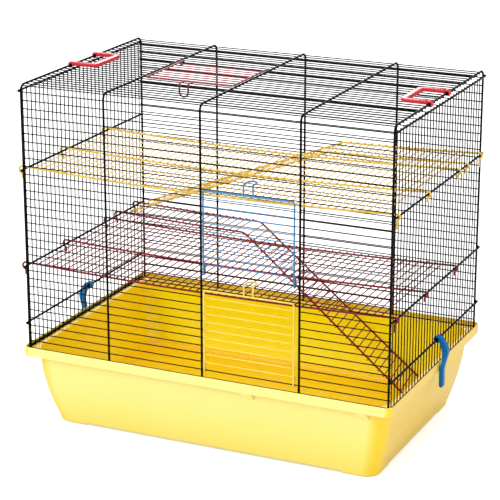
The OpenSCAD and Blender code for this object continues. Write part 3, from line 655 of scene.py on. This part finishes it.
FRONT_DOOR = [[1, 0, 0], [0, 0, -1], [0, 1, 0]]
ROOF_DOOR = [[-1, 0, 0], [0, -1, 0], [0, 0, 1]]
upper_hinge = (FRONT_DOOR_X, -MESH_Y, front_z(UPPER_DOOR_ROWS[1]))
lower_hinge = (FRONT_DOOR_X, -MESH_Y, front_z(LOWER_DOOR_ROWS[1]))
roof_hinge = (-HOOP_GAP / 2, roof_y(ROOF_DOOR_ROWS[1]), MESH_Z)
door_skin("upper_front_door_wires", "upper_front_door", "blue_wire", FRONT_DOOR, upper_hinge, BLUE)
door_skin("lower_front_door_wires", "lower_front_door", "pale_wire", FRONT_DOOR, lower_hinge, PALE)
door_skin("roof_door_wires", "roof_door", "scarlet_wire", ROOF_DOOR, roof_hinge, SCARLET)


# Tray

WALL_TOP_Z = TRAY_H - LIP_RISE - TRAY_WALL
WALL_LOW_Z = FOOT_H + BASE_ROUND


def wall_inset(z):
    """How far the wall's outside lies in from the rim: it leans in faster towards the base."""
    return LEDGE_W + WALL_LEAN * ((WALL_TOP_Z - z) / (WALL_TOP_Z - WALL_LOW_Z)) ** WALL_BOW


def wall_corner(z):
    """Corner radius of the wall's outside at the height z, in a straight line from base to top."""
    return BASE_R + (WALL_R - BASE_R) * (z - WALL_LOW_Z) / (WALL_TOP_Z - WALL_LOW_Z)


def softened(points, radius, steps):
    """Rounds the corners of an open profile of (inset, height, corner radius, foot share) rows.

    Each inner corner becomes a quadratic curve between points at most radius away along its sides.
    """
    p = np.asarray(points, float)
    out = [p[:1]]
    t = np.linspace(0, 1, steps + 1)[:, None]
    for a, b, c, r in zip(p[:-2], p[1:-1], p[2:], radius):
        la, lc = np.linalg.norm((a - b)[:2]), np.linalg.norm((c - b)[:2])
        r = min(r, 0.49 * la, 0.49 * lc)
        if r < 0.02:
            out.append(b[None])
            continue
        s, e = b + (a - b) * r / la, b + (c - b) * r / lc
        out.append((1 - t) ** 2 * s + 2 * t * (1 - t) * b + t ** 2 * e)
    out.append(p[-1:])
    return np.concatenate(out)


def tray_profile():
    """Rows of the tray's skin from under the floor, out, up the wall, round the rim and down inside."""
    wall = np.linspace(0, 1, 25)
    z_out = WALL_LOW_Z + (WALL_TOP_Z - WALL_LOW_Z) * wall[1:]
    ledge_z = TRAY_H - LIP_RISE
    fillet_z = FLOOR_Z + FLOOR_FILLET
    z_in = ledge_z - (ledge_z - fillet_z) * wall[1:]
    base_inset = wall_inset(WALL_LOW_Z)
    ring_w, ring_lean, floor_start = 3.0, 0.8, 4.0
    ring_in, ring_r = base_inset + BASE_ROUND + ring_w, BASE_R - BASE_ROUND - ring_w
    floor_in = wall_inset(FLOOR_Z - FLOOR_T) + TRAY_WALL + floor_start
    turn = np.radians(90 - 90 * np.linspace(0, 1, 9))
    base = np.stack([
        base_inset + BASE_ROUND * (1 - np.cos(turn)), FOOT_H + BASE_ROUND * (1 - np.sin(turn)),
        BASE_R - BASE_ROUND * (1 - np.cos(turn)), np.sin(turn)], -1)
    under = np.array([
        [floor_in, FLOOR_Z - FLOOR_T, BASE_R - TRAY_WALL - floor_start, 0],
        [ring_in + ring_lean, FLOOR_Z - FLOOR_T, ring_r - ring_lean, 0],
        [ring_in, FOOT_H + BASE_ROUND, ring_r, 0],
        [ring_in, FOOT_H, ring_r, 1]])
    outside = np.stack([wall_inset(z_out), z_out, wall_corner(z_out), 0 * z_out], -1)
    rim = np.array([
        [LIP_T, WALL_TOP_Z, RIM_R - LIP_T, 0],
        [LIP_T, TRAY_H - RIM_BAND, RIM_R - LIP_T, 0],
        [0, TRAY_H - RIM_BAND, RIM_R, 0],
        [0, TRAY_H, RIM_R, 0],
        [LIP_T, TRAY_H, RIM_R - LIP_T, 0],
        [LIP_T, ledge_z, RIM_R - LIP_T, 0],
        [LEDGE_W + TRAY_WALL, ledge_z, WALL_R - TRAY_WALL, 0]])
    below = [[LEDGE_W + TRAY_WALL, ledge_z - 3, WALL_R - TRAY_WALL, 0]]
    rim = np.concatenate([outside[-1:], rim, below])
    rim = softened(rim, [0.6, 0.25, 0.3, 0.85, 0.85, 0.6, 1.6], 5)[1:-1]
    z_clip = np.minimum(z_in, WALL_TOP_Z)
    inside = np.stack([wall_inset(z_clip) + TRAY_WALL, z_in, wall_corner(z_clip) - TRAY_WALL, 0 * z_in], -1)
    inside = inside[z_in < ledge_z - 2]
    turn = np.radians(90 * np.linspace(0, 1, 9)[1:])
    fillet = np.stack([
        wall_inset(fillet_z) + TRAY_WALL + FLOOR_FILLET * (1 - np.cos(turn)),
        FLOOR_Z + FLOOR_FILLET * (1 - np.sin(turn)),
        wall_corner(fillet_z) - TRAY_WALL - FLOOR_FILLET * (1 - np.cos(turn)), 0 * turn], -1)
    return np.concatenate([under, base, outside, rim, inside, fillet])


def tray_parts():
    """Tray skin: every profile row becomes a rounded rectangle; the feet drop near the corners.

    Also gives three marks for each point, where the finish paints light and shade: within the tray, in an
    upright bend, and on an end wall.
    """
    rows = tray_profile()
    inset, z, corner, foot = rows.T
    away = np.array([FOOT_L + 3, FOOT_L + 2, FOOT_L + 1, FOOT_L, FOOT_L - 1, 16, 8])
    foot_fade = np.array([0, 0.25, 0.75, 1, 1, 1, 1])
    a = np.radians(np.linspace(0, 90, 13))
    between = np.linspace(0, 1, 18)[1:-1]
    ring, foot_share, bend_share, end_share = [], [], [], []

    def corner_centre(q):
        """Where the rounding of corner q has its centre, for every profile row."""
        sx, sy = (1 if q % 4 in (0, 3) else -1), (1 if q % 4 < 2 else -1)
        return np.stack([sx * (TRAY_L / 2 - inset - corner), sy * (TRAY_W / 2 - inset - corner)], -1)

    for q in range(4):
        c = corner_centre(q)
        turn = a + math.pi / 2 * q
        out = np.stack([np.cos(turn), np.sin(turn)], -1)
        first, last = c + corner[:, None] * out[0], c + corner[:, None] * out[-1]
        along_first = np.array([-math.sin(turn[0]), math.cos(turn[0])])
        along_last = np.array([-math.sin(turn[-1]), math.cos(turn[-1])])
        run_from = last + away[0] * along_last
        run_to = corner_centre(q + 1) + corner[:, None] * out[-1] - away[0] * along_last
        ring += [
            first[:, None] - away[None, :, None] * along_first,
            c[:, None] + corner[:, None, None] * out,
            last[:, None] + away[None, ::-1, None] * along_last,
            run_from[:, None] + between[None, :, None] * (run_to - run_from)[:, None],
        ]
        foot_share += [foot_fade, np.ones(len(a)), foot_fade[::-1], 0 * between]
        bend_share += [0 * foot_fade, np.sin(2 * a), 0 * foot_fade, 0 * between]
        toward_end = np.cos(a) if q in (0, 2) else np.sin(a)
        end_share += [toward_end[0] + 0 * foot_fade, toward_end, toward_end[-1] + 0 * foot_fade,
                      toward_end[-1] + 0 * between]
    ring, foot_share = np.concatenate(ring, 1), np.concatenate(foot_share)
    bend_share, end_share = np.concatenate(bend_share), np.concatenate(end_share) ** 2
    m, n = ring.shape[:2]
    height = z[:, None] - foot[:, None] * foot_share[None] * FOOT_H
    skin_points = np.concatenate([ring, height[..., None]], -1).reshape(-1, 3)
    poles = np.array([[0, 0, z[0]], [0, 0, z[-1]]])
    s = np.arange(n)
    s1 = (s + 1) % n
    under = np.stack([np.full(n, m * n), s, s1], -1)
    floor = np.stack([np.full(n, m * n + 1), (m - 1) * n + s1, (m - 1) * n + s], -1)
    mouth = np.arange(m) > np.argmax(z) + 5  # from the lip's inner edge, whose rounding has 6 rows
    within = np.concatenate([np.repeat(mouth * 1.0, n), [0, 1]])
    bend = np.concatenate([np.outer(1 - mouth * 1.0, bend_share).ravel(), [0, 0]])
    end = np.concatenate([np.tile(end_share, m), [0, 0]])
    part = (np.concatenate([skin_points, poles]), grid_faces(m, n), np.concatenate([under, floor]))
    return part, {"within": within, "bend": bend, "end": end}


def rim_web(x0, x1):
    """Web that fills the recess under the front rim between x0 and x1, sloping from rim to wall.

    The slope's points are y and z.
    """
    slope = [[-164.6, 95.4], [-163.4, 96.5], [-152.0, 96.5], [-154.6, 84.0], [-155.6, 84.6], [-164.3, 94.2]]
    plate = rounded_plate(slope[::-1], x1 - x0, WEB_EDGE, 2)
    return turned(plate, [[0, 0, 1], [1, 0, 0], [0, 1, 0]], ((x0 + x1) / 2, 0, 0))


WEBS = ((55.0, 68.5), (204.5, 218.5))  # first and last x of each web that the photograph shows
shell, shell_marks = tray_parts()
webs = [rim_web(*ends) for ends in WEBS]
plain = np.zeros(sum(len(w[0]) for w in webs))
skin("tray_shell", "tray", "tray", ["tray"], [shell] + webs, TRAY_YELLOW, 50.0,
     {name: np.concatenate([values, plain]) for name, values in shell_marks.items()})


# Handles and clips

def hook_arcs(open_at, radius, mouth_r):
    """Ring of a snap hook from one side of its mouth, round the outside, and back along its bore.

    The mouth is MOUTH wide at the bore and at the radius mouth_r, further out it widens as a wedge.
    """
    outer = math.degrees(math.asin(MOUTH / 2 / mouth_r))
    inner = math.degrees(math.asin(MOUTH / 2 / BORE_R))
    outside = arc((0, 0), radius, open_at + outer, open_at + 360 - outer, 36)
    bore = arc((0, 0), BORE_R, open_at + 360 - inner, open_at + inner, 20)
    return outside, bore


def smooth_curve(points, steps=6):
    """Catmull-Rom curve through points, the ends taken twice, with steps points to each stretch."""
    p = np.asarray(points, float)
    p = np.concatenate([p[:1], p, p[-1:]])
    a, b, c, d = (p[i : len(p) - 3 + i, None] for i in range(4))
    t = (np.arange(steps) / steps)[None, :, None]
    square, cube = 2 * a - 5 * b + 4 * c - d, 3 * b - a - 3 * c + d
    run = 0.5 * (2 * b + (c - a) * t + square * t ** 2 + cube * t ** 3)
    return np.concatenate([run.reshape(-1, 2), p[-1:]])


UPRIGHT = [[1, 0, 0], [0, 0, -1], [0, 1, 0]]
HANDLE_ROOT, HANDLE_WIDE, HANDLE_TIGHT = 3.7, 9.0, 4.0  # start beside the hoop, outer and inner bends
HANDLE_HOOK_R, HANDLE_MOUTH_R = 4.4, 1.75
HANDLE_MOUTH_AT, CLIP_MOUTH_AT = -65.0, -120.0  # bearings of the hooks' mouths


def handle_parts(side, y):
    """Handle from the hoop at the right (1) or left (-1): a U-shaped plate and two snap hooks."""
    low, tip, inner = (HANDLE_SPAN + ARM_W) / 2, GRIP_REACH + GRIP_W / 2, GRIP_REACH - GRIP_W / 2
    arm = low - ARM_W
    wide, tight = HANDLE_WIDE, HANDLE_TIGHT
    outline = np.concatenate([
        [[HANDLE_ROOT, -low]],
        arc((tip - wide, wide - low), wide, -90, 0, 9),
        arc((tip - wide, low - wide), wide, 0, 90, 9),
        [[HANDLE_ROOT, low], [HANDLE_ROOT, arm]],
        arc((inner - tight, arm - tight), tight, 90, 0, 6),
        arc((inner - tight, tight - arm), tight, 0, -90, 6),
        [[HANDLE_ROOT, -arm]],
    ])
    bar = rounded_plate(outline, HANDLE_T, HANDLE_EDGE)
    bar[0][:, 2] += HANDLE_LOW + HANDLE_T / 2
    ring = np.concatenate(hook_arcs(HANDLE_MOUTH_AT, HANDLE_HOOK_R, HANDLE_MOUTH_R))
    hook = rounded_plate(ring, ARM_W - 0.3, HANDLE_HOOK_EDGE)
    mirror = [[-side, 0, 0], [0, 1, 0], [0, 0, 1]]
    origin = (side * HOOP_X, y, ROOF_Z)
    parts = [turned(bar, mirror, origin)]
    for s in (-1, 1):
        parts.append(turned(turned(hook, UPRIGHT, (0, s * HANDLE_SPAN / 2, 0)), mirror, origin))
    return parts


def clip_parts(side):
    """Clip at the right (1) or left (-1): one outline round hook, belly and tab, with rounded edges.

    The outline's points lie out and up from the middle of the hook's bore, as the photograph shows them.
    """
    belly = RIM_FROM_HOOK + CLIP_T + 3.8
    tab = RIM_FROM_HOOK + CLIP_T - 1.4
    end_r = (CLIP_T - 1.6) / 2
    end = (tab - end_r, RIM_FOOT - TAB_L + end_r)
    outside = smooth_curve([
        (1, HOOK_R - 0.1), (4.2, HOOK_R - 1.4), (belly - 7, 0.8), (belly - 2.4, -6.7), (belly, -13),
        (belly, -17.4), (belly - 2, -25.6), (tab + 1, RIM_FOOT + 7.5), (tab, RIM_FOOT + 0.6),
        (tab + 0.2, end[1] + 7), (tab, end[1])])
    inside = smooth_curve([
        (tab - 2 * end_r, end[1]), (RIM_FROM_HOOK + 0.1, RIM_FOOT - 7.5), (RIM_FROM_HOOK, RIM_FOOT - 3),
        (RIM_FROM_HOOK + 0.4, RIM_FOOT + 2.5), (RIM_FROM_HOOK + 1.4, RIM_FOOT + 7.5),
        (belly - CLIP_T - 0.7, -27.8), (belly - CLIP_T, -21.1), (belly - CLIP_T - 0.7, -15.6),
        (belly - CLIP_T - 2.6, -9.3), (3.2, -3.9)])
    ring, bore = hook_arcs(CLIP_MOUTH_AT, HOOK_R, HOOK_R)
    bearing = np.degrees(np.arctan2(ring[:, 1], ring[:, 0]))
    mouth_side = ring[(bearing > -109) & (bearing < -58)]
    crown = ring[(bearing > 84) | (bearing < CLIP_MOUTH_AT)]
    outline = np.concatenate([
        outside, arc(end, end_r, -18, -162, 8), inside,
        mouth_side[::-1], bore[::-1], crown[::-1]])
    plate = rounded_plate(outline[::-1], CLIP_W, CLIP_EDGE)
    mirror = [[side, 0, 0], [0, 1, 0], [0, 0, 1]]
    return [turned(turned(plate, UPRIGHT, (0, 0, 0)), mirror, (side * LEVEL_X, CLIP_Y, SIDE_LEVELS[-1]))]


skin("left_handle_bar", "left_handle", "handle", ["left_handle"], handle_parts(-1, 0.0), CORAL)
skin("right_handle_bar", "right_handle", "handle", ["right_handle"], handle_parts(1, -PITCH), CORAL)
skin("left_clip_strap", "left_clip", "clip", ["left_clip"], clip_parts(-1), AZURE)
skin("right_clip_strap", "right_clip", "clip", ["right_clip"], clip_parts(1), AZURE)


# Floor, light and camera

def studio_floor():
    """Plain pale floor that shows as white and keeps the shadow."""
    finish = bpy.data.materials.new("studio_floor_white")
    finish.use_nodes = True
    nodes, links = finish.node_tree.nodes, finish.node_tree.links
    nodes.clear()
    out = nodes.new("ShaderNodeOutputMaterial")
    diffuse = nodes.new("ShaderNodeBsdfDiffuse")
    diffuse.inputs["Color"].default_value = (0.8, 0.8, 0.8, 1)
    glow = nodes.new("ShaderNodeEmission")
    path = nodes.new("ShaderNodeLightPath")
    scale = nodes.new("ShaderNodeMath")
    scale.operation = "MULTIPLY"
    scale.inputs[1].default_value = 0.5
    links.new(path.outputs["Is Camera Ray"], scale.inputs[0])
    links.new(scale.outputs[0], glow.inputs["Strength"])
    add = nodes.new("ShaderNodeAddShader")
    links.new(diffuse.outputs[0], add.inputs[0])
    links.new(glow.outputs[0], add.inputs[1])
    links.new(add.outputs[0], out.inputs["Surface"])
    reach = 40.0
    corners = [(-reach, -reach, 0), (reach, -reach, 0), (reach, reach, 0), (-reach, reach, 0)]
    mesh = bpy.data.meshes.new("studio_floor")
    mesh.from_pydata(corners, [], [(0, 1, 2, 3)])
    mesh.materials.append(finish)
    floor = bpy.data.objects.new("studio_floor", mesh)
    bpy.context.scene.collection.objects.link(floor)
    floor.location.z = -0.0002


def studio_world():
    """White all round, dimmer in reflections so that the black wires stay black."""
    world = bpy.data.worlds.new("studio_world")
    bpy.context.scene.world = world
    world.use_nodes = True
    nodes, links = world.node_tree.nodes, world.node_tree.links
    nodes.clear()
    out = nodes.new("ShaderNodeOutputWorld")
    back = nodes.new("ShaderNodeBackground")
    path = nodes.new("ShaderNodeLightPath")
    dim = nodes.new("ShaderNodeMapRange")
    dim.inputs["To Min"].default_value, dim.inputs["To Max"].default_value = 1.0, 0.35
    links.new(path.outputs["Is Glossy Ray"], dim.inputs["Value"])
    links.new(dim.outputs["Result"], back.inputs["Strength"])
    links.new(back.outputs[0], out.inputs["Surface"])


def studio_lamp(name, place, aim, size, power):
    """Square soft lamp of this side length in metres and power in watts, turned towards aim."""
    lamp = bpy.data.lights.new(name, "AREA")
    lamp.shape, lamp.size, lamp.energy = "SQUARE", size, power
    obj = bpy.data.objects.new(name, lamp)
    bpy.context.scene.collection.objects.link(obj)
    obj.location = place
    obj.rotation_euler = (Vector(aim) - Vector(place)).to_track_quat("-Z", "Y").to_euler()


studio_floor()
studio_world()
studio_lamp("key_lamp", (-1.3, -2.8, 2.1), (0, 0, 0.2), 2.0, 45.0)
studio_lamp("side_lamp", (3.2, -0.6, 1.5), (0, 0, 0.2), 1.8, 18.0)
studio_lamp("top_lamp", (0.3, -0.4, 3.0), (0, 0, 0.1), 2.0, 38.0)
studio_lamp("back_lamp", (-1.2, 2.6, 1.5), (0, 0, 0.3), 1.1, 20.0)

# The photograph's own view: place, bearing, height and width of view were fitted to the hoops in it.
camera_data = bpy.data.cameras.new("photo_camera")
camera = bpy.data.objects.new("photo_camera", camera_data)
bpy.context.scene.collection.objects.link(camera)
azimuth, elevation = math.radians(24.7096), math.radians(17.8861)
level = math.cos(elevation)
back = Vector((math.sin(azimuth) * level, -math.cos(azimuth) * level, math.sin(elevation)))
camera.location = (0.98575, -2.15884, 0.9871)
camera.rotation_mode = "QUATERNION"
camera.rotation_quaternion = (-back).to_track_quat("-Z", "Y")
camera_data.angle = math.radians(14.5637)
camera_data.clip_start, camera_data.clip_end = 0.1, 100.0
bpy.context.scene.camera = camera
bpy.context.scene.view_settings.view_transform = "Standard"
